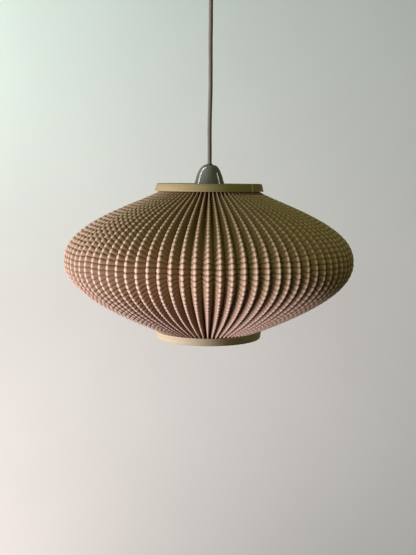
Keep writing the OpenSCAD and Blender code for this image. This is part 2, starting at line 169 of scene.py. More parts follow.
class Shader:
    """A node material in the making: add() makes a node, and link() joins two sockets."""

    def __init__(self, name):
        self.material = bpy.data.materials.new(name)
        self.material.use_nodes = True
        self.tree = self.material.node_tree
        self.body = self.tree.nodes["Principled BSDF"]
        self.output = self.tree.nodes["Material Output"]
        self.coords = self.add("ShaderNodeTexCoord").outputs["Object"]

    def add(self, kind, **values):
        """A new node, with its settings by name."""
        node = self.tree.nodes.new(kind)
        for key, value in values.items():
            setattr(node, key, value)
        return node

    def link(self, source, target):
        """Joins an output to an input."""
        self.tree.links.new(source, target)

    def stretched(self, scale):
        """Object coordinates scaled by three numbers."""
        mapping = self.add("ShaderNodeMapping")
        mapping.inputs["Scale"].default_value = scale
        self.link(self.coords, mapping.inputs["Vector"])
        return mapping.outputs["Vector"]

    def mesh_value(self, name):
        """A number stored at each point of the mesh."""
        return self.add("ShaderNodeAttribute", attribute_name=name).outputs["Fac"]

    def noise(self, scale, detail=3.0, roughness=0.55, vector=None, distortion=0.0):
        """Value of a noise texture, in object coordinates unless another vector is given."""
        node = self.add("ShaderNodeTexNoise")
        node.inputs["Scale"].default_value = scale
        node.inputs["Detail"].default_value = detail
        node.inputs["Roughness"].default_value = roughness
        node.inputs["Distortion"].default_value = distortion
        self.link(vector or self.coords, node.inputs["Vector"])
        return node.outputs["Fac"]

    def map_range(self, value, given, wanted):
        """Maps the range given to the range wanted, each a pair of numbers."""
        node = self.add("ShaderNodeMapRange")
        for key, number in zip(("From Min", "From Max", "To Min", "To Max"), (*given, *wanted)):
            node.inputs[key].default_value = number
        self.link(value, node.inputs["Value"])
        return node.outputs["Result"]

    def spread(self, value, low, high):
        """Maps the part of a noise where most of it lies to low..high."""
        return self.map_range(value, NOISE_SPAN, (low, high))

    def ramp(self, value, low, high):
        """Maps low..high to 0..1."""
        return self.map_range(value, (low, high), (0, 1))

    def mix(self, share, first, second):
        """Colour between two colours; share and the colours are numbers or sockets."""
        node = self.add("ShaderNodeMix", data_type="RGBA")
        for key, value in (("Factor", share), ("A", first), ("B", second)):
            sockets = [s for s in node.inputs if s.name == key and s.enabled]
            if isinstance(value, (int, float)):
                sockets[0].default_value = value
            elif isinstance(value, tuple):
                sockets[0].default_value = (*value, 1.0)
            else:
                self.link(value, sockets[0])
        return next(s for s in node.outputs if s.enabled)

    def bump(self, height, strength, distance, under=None):
        """Normal for a height in metres, laid over another normal if one is given."""
        node = self.add("ShaderNodeBump")
        node.inputs["Strength"].default_value = strength
        node.inputs["Distance"].default_value = distance
        self.link(height, node.inputs["Height"])
        if under is not None:
            self.link(under, node.inputs["Normal"])
        return node.outputs["Normal"]

    def set(self, **values):
        """Sets inputs of the main shader by name, with _ for a space."""
        for key, value in values.items():
            socket = self.body.inputs[key.replace("_", " ")]
            if isinstance(value, (int, float)):
                socket.default_value = value
            elif isinstance(value, tuple):
                socket.default_value = (*value, 1.0) if len(value) == 3 else value
            else:
                self.link(value, socket)
        return self


# ---- Materials ----

PAPER_GLOW = 0.03
# The paper's tone, kept dark as painted shade on the pleats' flanks
PAPER = ((0.41, 0.262, 0.14), (0.46, 0.298, 0.165))
PAPER_FIBRE = (0.35, 0.217, 0.112)
# Painted highlight along the fold crests
PAPER_CREST_HIGHLIGHT = (0.90, 0.63, 0.43)
# Painted shade in the cross grooves and the valleys
PAPER_GROOVE_SHADE = (0.15, 0.095, 0.05)
BIRCH = ((0.51, 0.39, 0.20), (0.39, 0.285, 0.13))
# A paler copy of the same birch for the bottom hoop: painted light, where it is more brightly lit than the top
# hoop
LIT_LOWER_BIRCH = ((0.76, 0.63, 0.40), (0.62, 0.50, 0.29))
# Near-white birch for the lap's cut end: partly sanded wood, partly a painted highlight
SANDED_BIRCH_HIGHLIGHT = ((0.80, 0.80, 0.68), (0.70, 0.70, 0.58))


def paper_material():
    """Uncoated paper with fine fibres and faint mottling. Its tone is kept dark as painted shade on the flanks,
    with a painted highlight along the fold crests and painted shade in the cross grooves. It lets a little
    light through. The mesh says where crests and grooves are."""
    s = Shader("pleated_paper_fibres")
    clouds = s.noise(9, 4)
    fibres = s.noise(700, 5, 0.7)
    tone = s.mix(s.spread(clouds, 0, 1), *PAPER)
    tone = s.mix(s.spread(fibres, 0.0, 0.35), tone, PAPER_FIBRE)
    # Painted highlight along the fold crests
    tone = s.mix(s.ramp(s.mesh_value("crest"), 0.35, 1.0), tone, PAPER_CREST_HIGHLIGHT)
    # Painted shade in the cross grooves and the valleys
    tone = s.mix(s.ramp(s.mesh_value("groove"), 0.3, 1.0), tone, PAPER_GROOVE_SHADE)
    s.set(Base_Color=tone, Roughness=0.88, Specular_IOR_Level=0.2)
    s.set(Normal=s.bump(fibres, 0.25, 0.25 * MM))
    glow = s.add("ShaderNodeBsdfTranslucent")
    s.link(tone, glow.inputs["Color"])
    blend = s.add("ShaderNodeMixShader")
    blend.inputs["Fac"].default_value = PAPER_GLOW
    s.link(s.body.outputs["BSDF"], blend.inputs[1])
    s.link(glow.outputs["BSDF"], blend.inputs[2])
    s.link(blend.outputs["Shader"], s.output.inputs["Surface"])
    return s.material


def wood_material(name, pale, dark, rough):
    """Bentwood with the grain running round the hoop: noise drawn out along the bend."""
    s = Shader(name)
    streaks = s.noise(1.0, 6, 0.65, s.stretched((22, 22, 1500)), 0.3)
    bands = s.noise(1.0, 3, 0.5, s.stretched((9, 9, 260)))
    pores = s.noise(1.0, 2, 0.5, s.stretched((160, 160, 3600)))
    tone = s.mix(s.spread(bands, 0, 0.8), pale, dark)
    tone = s.mix(s.spread(streaks, 0, 0.55), tone, dark)
    pore_dark = tuple(0.62 * c for c in dark)
    tone = s.mix(s.ramp(pores, 0.62, 0.75), tone, pore_dark)
    s.set(Base_Color=tone, Roughness=s.spread(streaks, rough - 0.06, rough + 0.08))
    s.set(Specular_IOR_Level=0.35, Coat_Weight=0.15, Coat_Roughness=0.35)
    s.set(Normal=s.bump(streaks, 0.25, 0.15 * MM))
    return s.material


def plastic_material(name, colour, rough, peel=0.02, coat=0.0):
    """Moulded plastic with slight tone changes, dust-dulled patches and orange peel."""
    s = Shader(name)
    drift = s.noise(35, 3)
    peel_noise = s.noise(420, 2)
    worn = tuple(min(1.0, 1.12 * c + 0.004) for c in colour)
    s.set(Base_Color=s.mix(s.spread(drift, 0, 1), colour, worn))
    s.set(Roughness=s.spread(s.noise(90, 4), max(0.02, rough - 0.03), rough + 0.05))
    s.set(Coat_Weight=coat, Coat_Roughness=0.06)
    s.set(Normal=s.bump(peel_noise, peel, 0.2 * MM))
    return s.material


def metal_material(name, colour, rough, brush=(30, 30, 2200)):
    """Metal with fine drawn lines, uneven sheen and faint tarnish."""
    s = Shader(name)
    lines = s.noise(1.0, 3, 0.6, s.stretched(brush))
    tarnish = s.noise(120, 4)
    dull = tuple(0.78 * c for c in colour)
    s.set(Base_Color=s.mix(s.spread(tarnish, 0, 0.7), colour, dull), Metallic=1.0)
    s.set(Roughness=s.spread(lines, rough - 0.05, rough + 0.1))
    s.set(Normal=s.bump(lines, 0.12, 0.05 * MM))
    return s.material


def rubber_material(name, colour, rough):
    """Dull rubber with a fine grain and a pale bloom in patches."""
    s = Shader(name)
    grain = s.noise(900, 3)
    bloom = s.noise(60, 4)
    pale = tuple(min(1.0, 1.25 * c + 0.01) for c in colour)
    s.set(Base_Color=s.mix(s.spread(bloom, 0, 0.8), colour, pale))
    s.set(Roughness=s.spread(bloom, rough - 0.06, rough + 0.08), Specular_IOR_Level=0.35)
    s.set(Normal=s.bump(grain, 0.12, 0.08 * MM))
    return s.material


def flex_material():
    """Smooth grey cord sheath with the faint winding of the cores showing through."""
    s = Shader("flex_sheath")
    wave = s.add("ShaderNodeTexWave", wave_type="BANDS", bands_direction="DIAGONAL")
    wave.inputs["Scale"].default_value = 38
    wave.inputs["Distortion"].default_value = 0.6
    s.link(s.coords, wave.inputs["Vector"])
    dust = s.noise(150, 4)
    s.set(Base_Color=s.mix(s.spread(dust, 0, 1), (0.22, 0.182, 0.15), (0.27, 0.225, 0.185)))
    s.set(Roughness=s.spread(dust, 0.36, 0.5))
    s.set(Normal=s.bump(wave.outputs["Fac"], 0.12, 0.25 * MM))
    return s.material


def ceramic_material():
    """Glazed porcelain, slightly speckled and uneven."""
    s = Shader("glazed_porcelain")
    specks = s.noise(260, 4)
    s.set(Base_Color=s.mix(s.spread(specks, 0, 1), (0.80, 0.78, 0.71), (0.74, 0.71, 0.62)))
    s.set(Roughness=s.spread(specks, 0.12, 0.2), Coat_Weight=0.5, Coat_Roughness=0.05)
    s.set(Normal=s.bump(s.noise(90, 2), 0.08, 0.2 * MM))
    return s.material


def opal_glass_material():
    """Opal-coated bulb glass: milky, soft-edged and slightly uneven inside."""
    s = Shader("opal_coating")
    powder = s.noise(45, 4)
    s.set(Base_Color=s.mix(s.spread(powder, 0, 1), (0.86, 0.86, 0.83), (0.80, 0.80, 0.77)))
    s.set(Roughness=s.spread(powder, 0.2, 0.3), Coat_Weight=0.6, Coat_Roughness=0.08)
    s.set(Subsurface_Weight=0.35, Subsurface_Scale=0.006)
    s.set(Normal=s.bump(s.noise(300, 2), 0.03, 0.1 * MM))
    return s.material


MATERIALS = {
    "pleated_paper": paper_material(),
    "bentwood": wood_material("birch_bentwood", *BIRCH, 0.5),
    # Paler copy of the birch for the bottom hoop, as painted light
    "lower_bentwood": wood_material("birch_lower_bentwood", *LIT_LOWER_BIRCH, 0.5),
    # Cut end of the lap: sanded wood with a painted highlight
    "sanded_end_highlight": wood_material("birch_sanded_end", *SANDED_BIRCH_HIGHLIGHT, 0.5),
    "cap_grey": plastic_material("grey_gloss_cap", (0.185, 0.175, 0.145), 0.14, 0.02, 0.6),
    "cup_plastic": plastic_material("grey_gloss_cup", (0.33, 0.34, 0.31), 0.22, 0.03, 0.4),
    "grey_plastic": plastic_material("grey_satin_plastic", (0.15, 0.155, 0.14), 0.38, 0.06),
    "white_plastic": plastic_material("white_moulded_plastic", (0.70, 0.70, 0.66), 0.42, 0.06),
    "black_insulator": plastic_material("black_vitrite", (0.012, 0.012, 0.013), 0.16, 0.03, 0.5),
    "grey_rubber": rubber_material("grey_rubber_sleeve", (0.10, 0.10, 0.092), 0.62),
    "flex_grey": flex_material(),
    "brown_core": plastic_material("brown_core_sheath", (0.10, 0.035, 0.016), 0.4, 0.04),
    "blue_core": plastic_material("blue_core_sheath", (0.02, 0.07, 0.30), 0.4, 0.04),
    "zinc_steel": metal_material("zinc_plated_steel", (0.56, 0.56, 0.54), 0.34),
    "brass": metal_material("turned_brass", (0.72, 0.52, 0.22), 0.28),
    "cap_aluminium": metal_material("thin_aluminium", (0.72, 0.72, 0.71), 0.26),
    "ceramic": ceramic_material(),
    "opal_glass": opal_glass_material(),
}

NODES_OF_SLOT = {
    "zinc_steel": (
        "ceiling_plate", "hanger_bracket", "cord_clamp_screws", "holder_grip_screws",
        "spider", "spider_rivets",
    ),
    "brass": (
        "hanger_nipple", "nipple_lock_nut", "terminal_screws", "canopy_nut",
        "holder_terminal_screws", "screw_shell", "centre_contact",
    ),
    "white_plastic": ("terminal_block", "cord_clamp", "cord_gland", "holder_grip_bar"),
    "cup_plastic": ("canopy_cup",),
    "grey_plastic": ("holder_skirt", "shade_ring"),
    "grey_rubber": ("bend_relief", "cord_bush"),
    "flex_grey": ("flex_cord", "ceiling_cord_tail", "holder_cord_tail"),
    "wire_cores": ("ceiling_wires", "holder_wires"),
    "cap_grey": ("holder_cap",),
    "ceramic": ("holder_insert",),
    "bentwood": ("top_hoop", "bottom_hoop", "top_inner_ring", "bottom_inner_ring"),
    "pleated_paper": ("pleated_shade",),
    "opal_glass": ("bulb_glass",),
    "cap_aluminium": ("bulb_cap", "bulb_contact"),
    "black_insulator": ("bulb_insulator",),
}


def slot_of(node):
    """Name of the material slot that a CAD node belongs to."""
    return next(slot for slot, nodes in NODES_OF_SLOT.items() if node in nodes)


def dress_cad_nodes():
    """Gives the CAD's own meshes their materials; most of the hidden ones stay as they are."""
    for node, obj in NODES.items():
        if slot_of(node) in MATERIALS:
            obj.data.materials.clear()
            obj.data.materials.append(MATERIALS[slot_of(node)])


def extent(node, level):
    """Outer radius and lowest and highest point of a round CAD node, in millimetres from a level."""
    low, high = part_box(node)
    return high.x / MM, (low.z - level) / MM, (high.z - level) / MM


def stand_for(obj, node, body=None):
    """obj takes a CAD node's place: it rides on the node's body and hides the node."""
    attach(obj, body or NODES[node]["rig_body"])
    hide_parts(node)
    return obj


# ---- Mesh helpers ----

NEARLY_STRAIGHT = 0.06
LONGEST_REACH = 0.45


def grid_object(name, grid, material, close_u=True, close_v=True, smooth_deg=40):
    """Object through a grid of points [u, v, xyz]; close_u and close_v join the last row to the first."""
    nu, nv = grid.shape[:2]
    iu = np.arange(nu if close_u else nu - 1)[:, None]
    iv = np.arange(nv if close_v else nv - 1)[None, :]
    ju, jv = (iu + 1) % nu, (iv + 1) % nv
    quads = np.stack([iu * nv + iv, ju * nv + iv, ju * nv + jv, iu * nv + jv], -1).reshape(-1, 4)
    mesh = bpy.data.meshes.new(name)
    mesh.vertices.add(nu * nv)
    mesh.vertices.foreach_set("co", grid.astype(np.float32).ravel())
    mesh.loops.add(quads.size)
    mesh.loops.foreach_set("vertex_index", quads.astype(np.int32).ravel())
    mesh.polygons.add(len(quads))
    mesh.polygons.foreach_set("loop_start", np.arange(len(quads), dtype=np.int32) * 4)
    mesh.update(calc_edges=True)
    return finish_mesh(name, mesh, material, smooth_deg)


def finish_mesh(name, mesh, material, smooth_deg):
    """Smooth shading with sharp edges past an angle, a material and an object."""
    mesh.polygons.foreach_set("use_smooth", np.ones(len(mesh.polygons), bool))
    mesh.set_sharp_from_angle(angle=math.radians(smooth_deg))
    mesh.materials.append(material)
    obj = bpy.data.objects.new(name, mesh)
    SCENE.collection.objects.link(obj)
    return obj


def weld(obj, smooth_deg=40):
    """Joins the points that lie together on the axis, and turns the faces outwards."""
    mesh = obj.data
    work = bmesh.new()
    work.from_mesh(mesh)
    bmesh.ops.remove_doubles(work, verts=work.verts, dist=0.002 * MM)
    bmesh.ops.dissolve_degenerate(work, edges=work.edges, dist=0.001 * MM)
    bmesh.ops.recalc_face_normals(work, faces=work.faces)
    work.to_mesh(mesh)
    work.free()
    mesh.set_sharp_from_angle(angle=math.radians(smooth_deg))
    return obj


def close_ends(obj, smooth_deg):
    """Fills the open ends of a tube, and turns the faces outwards."""
    work = bmesh.new()
    work.from_mesh(obj.data)
    bmesh.ops.holes_fill(work, edges=[e for e in work.edges if e.is_boundary], sides=0)
    bmesh.ops.recalc_face_normals(work, faces=work.faces)
    work.to_mesh(obj.data)
    work.free()
    obj.data.set_sharp_from_angle(angle=math.radians(smooth_deg))


def rounded(outline, radius, steps=4):
    """A closed outline with each corner eased over by radius, or by as much as its sides allow."""
    points = [np.array(p, float) for p in outline]
    count = len(points)
    eased = []
    for i, corner in enumerate(points):
        before, after = points[i - 1], points[(i + 1) % count]
        arms = [before - corner, after - corner]
        lengths = [np.linalg.norm(a) for a in arms]
        reach = [min(radius, LONGEST_REACH * length) for length in lengths]
        start, end = (corner + a / n * r for a, n, r in zip(arms, lengths, reach))
        turn = 1 + np.dot(arms[0], arms[1]) / (lengths[0] * lengths[1])
        if turn < NEARLY_STRAIGHT:
            eased.append(corner)
            continue
        for step in range(steps + 1):
            u = step / steps
            eased.append((1 - u) ** 2 * start + 2 * u * (1 - u) * corner + u * u * end)
    return eased


def revolve(name, outline, level, material, steps=96, shape=None, smooth_deg=40):
    """Closed solid of revolution. outline is a closed loop of (radius, height) in millimetres from
    level; shape(angle, radius, height) gives each point's radius where it isn't plainly round."""
    line = np.array(outline, float)
    angles = np.arange(steps) * TURN / steps
    radius = np.repeat(line[None, :, 0], steps, 0)
    height = np.repeat(line[None, :, 1], steps, 0)
    if shape is not None:
        radius = shape(angles[:, None], radius, height)
    grid = np.stack([
        radius * np.cos(angles)[:, None] * MM,
        radius * np.sin(angles)[:, None] * MM,
        height * MM + level,
    ], -1)
    obj = grid_object(name, grid, material, True, True, smooth_deg)
    return weld(obj, smooth_deg)


def arc(middle, radius, start_deg, end_deg, count):
    """Points on an arc in an outline, round middle as (radius, height)."""
    angles = np.linspace(math.radians(start_deg), math.radians(end_deg), count)
    return [(middle[0] + radius * math.cos(a), middle[1] + radius * math.sin(a)) for a in angles]


def ease(x):
    """Smooth step of x, clipped to 0..1."""
    x = np.clip(x, 0, 1)
    return x * x * (3 - 2 * x)


# ---- Pleated paper: lengths in millimetres ----

PLEATS = 85
FRONT_CREST_DEG = -90.3
FLANK_W = 15.0
TOP_HUB_R = 72.8
LOW_HUB_R = 77.6
BELLY_PAST_CAD = 0.6
COLLAR_H = 9.0
TOP_COLLAR_R = 73.0
LOW_COLLAR_R = 74.2

# The crest line is sampled at LINE_STEP, and its normal is evened out over NORMAL_SPREAD each way
LINE_STEP = 0.25
NORMAL_SPREAD = 6.0

# Unevenness of folding: of the pleats' pitch, of the ribs along a pleat, and of a crest in and out
PITCH_WANDER = 0.035
ROW_WANDER = 0.55
WAVE_WANDER = 0.4
CREST_WANDER = 0.35

# A crest is rounded to FOLD_R plus a share of half its pitch, in CREST_STEPS flats
FOLD_R = -0.15
FOLD_R_GAIN = 0.30
LEAST_FOLD_R = 0.35
WIDEST_FOLD = 0.55
CREST_STEPS = 4

# Each cross rib has rows at RIB_ROWS of its pitch, RIB_RISE high, with RIB_LEVEL on the crest line
RIBS = 46
RIB_ROWS = (0.0, 0.21, 0.5, 0.79)
RIB_RISE = (0.0, 0.82, 1.0, 0.82)
RIB_LEVEL = 0.7
RIB_H = 2.5
RIB_UNEVEN = 0.14
RIB_SIDEWAYS = 0.92
RIB_OUTWARDS = 0.36
VALLEY_RIB_GAIN = 1.5

# Ribs are shallower near the folded ends: the share left there, and how far in they are at full height
RIB_AT_ENDS = 0.25
CALM_TOP = 0.10
CALM_LOW = 0.12

# How much each column of a pleat takes the painted crest highlight and the painted groove shade: first the
# crest's columns, then the valley
CREST_HIGHLIGHT = (0.45, 1.0, 1.0, 1.0, 0.45, 0.0)
CREST_TINT_IN_GROOVE = 0.45
GROOVE_SHADE = (0.75, 0.5, 0.4, 0.5, 0.75, 0.6)
GROOVE_SLOPE = 3


def lobe_radius(t):
    """Crest radius in millimetres, at t from -1 at the bottom hoop to 1 at the top hoop."""
    belly = BELLY_R / MM + BELLY_PAST_CAD
    upper = TOP_HUB_R + (belly - TOP_HUB_R) * np.maximum(0, 1 - np.abs(t) ** 2.35) ** 1.25
    lower = LOW_HUB_R + (belly - LOW_HUB_R) * np.maximum(0, 1 - t * t) ** 1.1
    return np.where(t > 0, upper, lower)


def meridian():
    """Dense crest line from inside the top hoop to inside the bottom hoop, in millimetres from the rim."""
    paper_top, paper_end = -HOOP_H / MM, (LOW_RIM_Z - RIM_Z) / MM + HOOP_H / MM
    middle, half = (paper_top + paper_end) / 2, (paper_top - paper_end) / 2
    t = np.linspace(0.996, -0.985, 900)
    lobe = np.stack([lobe_radius(t), middle + half * t], -1)
    top = [(TOP_COLLAR_R, paper_top + COLLAR_H), (TOP_COLLAR_R, paper_top + 1)]
    low = [
        (77.0, paper_end + 0.35), (LOW_COLLAR_R + 0.9, paper_end - 0.6),
        (LOW_COLLAR_R, paper_end - 2), (LOW_COLLAR_R, paper_end - COLLAR_H),
    ]
    return np.concatenate([top, lobe, low])


def evenly(line, spacing):
    """The line resampled at even steps of about spacing, with its distance along it."""
    along = np.r_[0, np.cumsum(np.linalg.norm(np.diff(line, axis=0), axis=1))]
    count = int(round(along[-1] / spacing)) + 1
    at = np.linspace(0, along[-1], count)
    return np.stack([np.interp(at, along, line[:, k]) for k in (0, 1)], -1), at


def smoothed(values, width):
    """Running mean over width samples, with the ends held."""
    padded = np.r_[np.repeat(values[:1], width, 0), values, np.repeat(values[-1:], width, 0)]
    kernel = np.ones(2 * width + 1) / (2 * width + 1)
    return np.stack([np.convolve(padded[:, k], kernel, "valid") for k in range(values.shape[1])], -1)


def crest_line():
    """Distance along the crest line, its points (radius, height) and its outward normals."""
    line, along = evenly(meridian(), LINE_STEP)
    tangent = np.gradient(line, axis=0)
    tangent /= np.linalg.norm(tangent, axis=1)[:, None]
    normal = np.stack([-tangent[:, 1], tangent[:, 0]], -1)
    normal = smoothed(normal, int(NORMAL_SPREAD / LINE_STEP))
    normal /= np.linalg.norm(normal, axis=1)[:, None]
    return along, line, normal


def rib_rows(total):
    """Rows of points down a pleat of a total length: distance along it, place in the count of ribs,
    rise from 0 in a groove to 1 on a rib, and share of the way between the two collars."""
    phase = np.r_[(np.arange(RIBS)[:, None] + np.array(RIB_ROWS)).ravel(), RIBS]
    rise = np.r_[np.tile(RIB_RISE, RIBS), RIB_RISE[0]]
    ends = np.array([0, COLLAR_H / 2])
    ribbed = total - 2 * COLLAR_H
    rows = np.r_[ends, COLLAR_H + ribbed / RIBS * phase, total - ends[::-1]]
    phase, rise = (np.pad(values, len(ends), "edge") for values in (phase, rise))
    return rows, phase, rise, np.clip((rows - COLLAR_H) / ribbed, 0, 1)


def crest_angles(pleat):
    """Angle of each crest, and half the angle from it to the next."""
    jitter = np.sin(2.3 * pleat + 0.7) + np.sin(5.1 * pleat + 2.0) + np.sin(0.37 * pleat)
    angle = math.radians(FRONT_CREST_DEG) + pleat * TURN / PLEATS
    angle = angle + PITCH_WANDER * jitter / 2 * TURN / PLEATS
    return angle, (np.roll(angle, -1) - angle) % TURN / 2


def crest_points(pleat, angle, rows, inside, along, line, normal):
    """Radius and height of each crest's points and normals. The rows of each pleat drift a little
    along the sheet, and its crest stands a little in or out."""
    drift = ROW_WANDER * (np.sin(1.7 * pleat) + np.sin(0.9 * pleat + 1))[:, None]
    drift = drift * np.sin(inside * math.pi)[None, :] ** 0.5
    drift += WAVE_WANDER * np.sin(3 * angle + 1)[:, None] * np.sin(5 * math.pi * inside)[None, :]
    at = rows[None, :] + drift
    radius, height, n_r, n_z = (np.interp(at, along, values) for values in (*line.T, *normal.T))
    bow = CREST_WANDER * np.sin(3.1 * pleat + 0.4)[:, None]
    bow = bow * np.sin(2 * math.pi * inside + pleat[:, None])
    return radius + bow * n_r, height + bow * n_z, n_r, n_z


def fold_columns(crest_angle, half_gap, crest_r, crest_z, n_r, n_z, rib):
    """Columns of (radius, angle, height) across each pleat: round its crest, then along its valley."""
    half_pitch = crest_r * np.sin(half_gap)[:, None]
    depth = np.sqrt(np.maximum(FLANK_W ** 2 - half_pitch ** 2, 1))
    open_angle = np.arcsin(np.clip(half_pitch / FLANK_W, 0, 0.95))
    fold_r = np.minimum(FOLD_R + FOLD_R_GAIN * half_pitch, WIDEST_FOLD * half_pitch)
    columns = []
    for step in range(CREST_STEPS + 1):
        turn = (2 * step / CREST_STEPS - 1) * (math.pi / 2 - open_angle)
        up = (fold_r + rib * RIB_OUTWARDS) * np.cos(turn) - fold_r
        side = np.maximum(fold_r + rib * RIB_SIDEWAYS, LEAST_FOLD_R) * np.sin(turn)
        radius = crest_r + up * n_r
        angle = crest_angle[:, None] + np.arctan2(side, radius)
        columns.append((np.hypot(side, radius), angle, crest_z + up * n_z))
    sink = rib * np.minimum(1 / np.sin(open_angle), VALLEY_RIB_GAIN) - depth
    next_r, next_z, next_nr, next_nz = (np.roll(a, -1, 0) for a in (crest_r, crest_z, n_r, n_z))
    valley_r = (crest_r + next_r) / 2 + sink * (n_r + next_nr) / 2
    valley_z = (crest_z + next_z) / 2 + sink * (n_z + next_nz) / 2
    columns.append((valley_r, (crest_angle + half_gap)[:, None] + 0 * valley_r, valley_z))
    return columns


def store_painted_light(obj, name, by_column, by_row):
    """Stores a number at each point of the paper that tells its material where to paint a highlight or shade,
    the same on every pleat.
    """
    layer = obj.data.attributes.new(name, "FLOAT", "POINT")
    share = np.tile(np.outer(by_column, by_row), (PLEATS, 1))
    layer.data.foreach_set("value", share.astype(np.float32).ravel())


def pleated_sheet():
    """One zigzag sheet, closed round the lamp: round crests, sharp valleys and pressed cross ribs."""
    along, line, normal = crest_line()
    rows, phase, rise, inside = rib_rows(along[-1])
    pleat = np.arange(PLEATS)
    crest_angle, half_gap = crest_angles(pleat)
    crests = crest_points(pleat, crest_angle, rows, inside, along, line, normal)

    # Cross ribs: flat pillows between narrow grooves, fading towards the folded ends
    calm = np.minimum(ease(inside / CALM_TOP), ease((1 - inside) / CALM_LOW))
    calm = calm * (1 - RIB_AT_ENDS) + RIB_AT_ENDS
    lively = 1 + RIB_UNEVEN * np.sin(7.7 * pleat[:, None] + 2.9 * np.floor(phase)[None, :])
    rib = RIB_H * (calm * (rise - RIB_LEVEL))[None, :] * lively

    columns = fold_columns(crest_angle, half_gap, *crests, rib)
    radius, angle, height = (np.stack([c[k] for c in columns], 1) for k in range(3))
    grid = np.stack([
        radius * np.cos(angle) * MM, radius * np.sin(angle) * MM, height * MM + RIM_Z
    ], -1).reshape(PLEATS * len(columns), len(rows), 3)
    obj = grid_object("paper_pleats", grid, MATERIALS["pleated_paper"], True, False, 46)
    # Where the material paints the crest highlight
    store_painted_light(obj, "crest", CREST_HIGHLIGHT, CREST_TINT_IN_GROOVE + (1 - CREST_TINT_IN_GROOVE) * rise)
    # Where the material paints the shade in grooves and valleys
    store_painted_light(obj, "groove", GROOVE_SHADE, np.maximum(0, 1 - GROOVE_SLOPE * rise) * calm)
    stand_for(obj, "pleated_shade")
    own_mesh(obj)
    return obj


# ---- Bentwood hoops: lengths in millimetres ----

HOOP_WALL = 2.6
HOOP_SOFT = 1.1
HOOP_STEPS = 200
INNER_RING_WALL = 2.5
LAP_DEG = 38
LAP_STEP = 0.35
FEATHER = 0.16
SANDED_HIGHLIGHT_TURN = 0.026
SLANT_DEG = 1.7
SLANT_POWER = 12


def wound_hoop(name, node, wood, high_r, low_r, seam_deg):
    """A strip of wood wound once round and lapped on itself, high_r in radius at its upper edge and
    low_r at its lower. Both ends are planed to a wedge, and the outer end stands proud by a hair
    where it stops, with a narrow pale strip at its edge: sanded wood, also a painted highlight."""
    _, low_z, high_z = extent(node, RIM_Z)
    lap = math.radians(LAP_DEG)
    wound = np.r_[np.linspace(0, TURN + lap - SANDED_HIGHLIGHT_TURN, HOOP_STEPS - 1), TURN + lap]
    starting, ending = wound / lap, (wound - TURN) / lap
    outer = FEATHER + (1 - FEATHER) * np.clip(starting, 0, 1)
    inner = np.where(ending > 0, FEATHER + (1 - FEATHER) * np.clip(ending, 0, 1), 0.0)
    proud = LAP_STEP * ease(ending)

    tall = high_z - low_z
    corners = np.array(rounded([(0, 0), (HOOP_WALL, 0), (HOOP_WALL, tall), (0, tall)], HOOP_SOFT, 3))
    across, up = corners[:, 0] / HOOP_WALL, corners[:, 1] / tall
    share = inner[:, None] + (outer - inner)[:, None] * across[None, :]
    face_r = low_r + (high_r - low_r) * up
    radius = face_r[None, :] - HOOP_WALL + share * HOOP_WALL + proud[:, None] * across[None, :]
    shear = math.radians(SLANT_DEG) * (up - 0.5)[None, :] * (wound / wound[-1])[:, None] ** SLANT_POWER
    angle = math.radians(seam_deg) + (wound[-1] - wound)[:, None] + shear
    height = (low_z + up * tall) * MM + RIM_Z
    grid = np.stack([
        radius * np.cos(angle) * MM, radius * np.sin(angle) * MM, np.repeat(height[None, :], HOOP_STEPS, 0)
    ], -1)
    obj = grid_object(name, grid, MATERIALS[wood], False, True, 50)
    # The outer end's last strip: pale sanded wood with a painted highlight
    obj.data.materials.append(MATERIALS["sanded_end_highlight"])
    for face in obj.data.polygons[-len(corners):]:
        face.material_index = 1
    close_ends(obj, 50)
    return stand_for(obj, node)


def inner_ring(name, node):
    """Plain ring behind the folded ends of the paper."""
    outer, low_z, high_z = extent(node, RIM_Z)
    inner = outer - INNER_RING_WALL
    outline = rounded([(inner, high_z), (outer, high_z), (outer, low_z), (inner, low_z)], 0.4)
    return stand_for(revolve(name, outline, RIM_Z, MATERIALS["bentwood"], 120), node)


# ---- Lampholder: millimetres from the top hoop's rim ----

CAP_TOP = 27.3
CAP_R = 21.3
CAP_POWER = 0.28
CAP_WALL = 1.5
CAP_HOLE_R = 4.05
FLANGE_H = 2.0
FLANGE_R, CAP_BASE, _ = extent("holder_cap", RIM_Z)

BUSH_BORE = 3.03
BUSH_LIP = 0.9
BUSH_SEAT = CAP_TOP + 0.1

# A thread ends short of both ends of its piece by the PLAIN length
SKIRT_WALL = 2.0
SKIRT_PITCH = 2.5
SKIRT_THREAD = 0.5
SKIRT_PLAIN = 8.0
E27_PITCH = 3.6
SHELL_WALL = 0.6
SHELL_THREAD = 0.3
SHELL_PLAIN = 2.0

# A nut's bore is wider than the thread in it by THREAD_GAP, in radius
THREAD_GAP = 0.1
RING_R = 26.0
RING_BEVEL = 1.0
RING_FLUTES = 16
RING_FLUTE_DEPTH = 0.9


def dome_line(radius, top, base, steps=40):
    """Half outline of the dome from its crown down to base; it has the radius at height 0."""
    depth = (top - base) * (np.arange(steps + 1) / steps) ** 2.5
    return [(radius * (d / top) ** CAP_POWER, top - d) for d in depth]


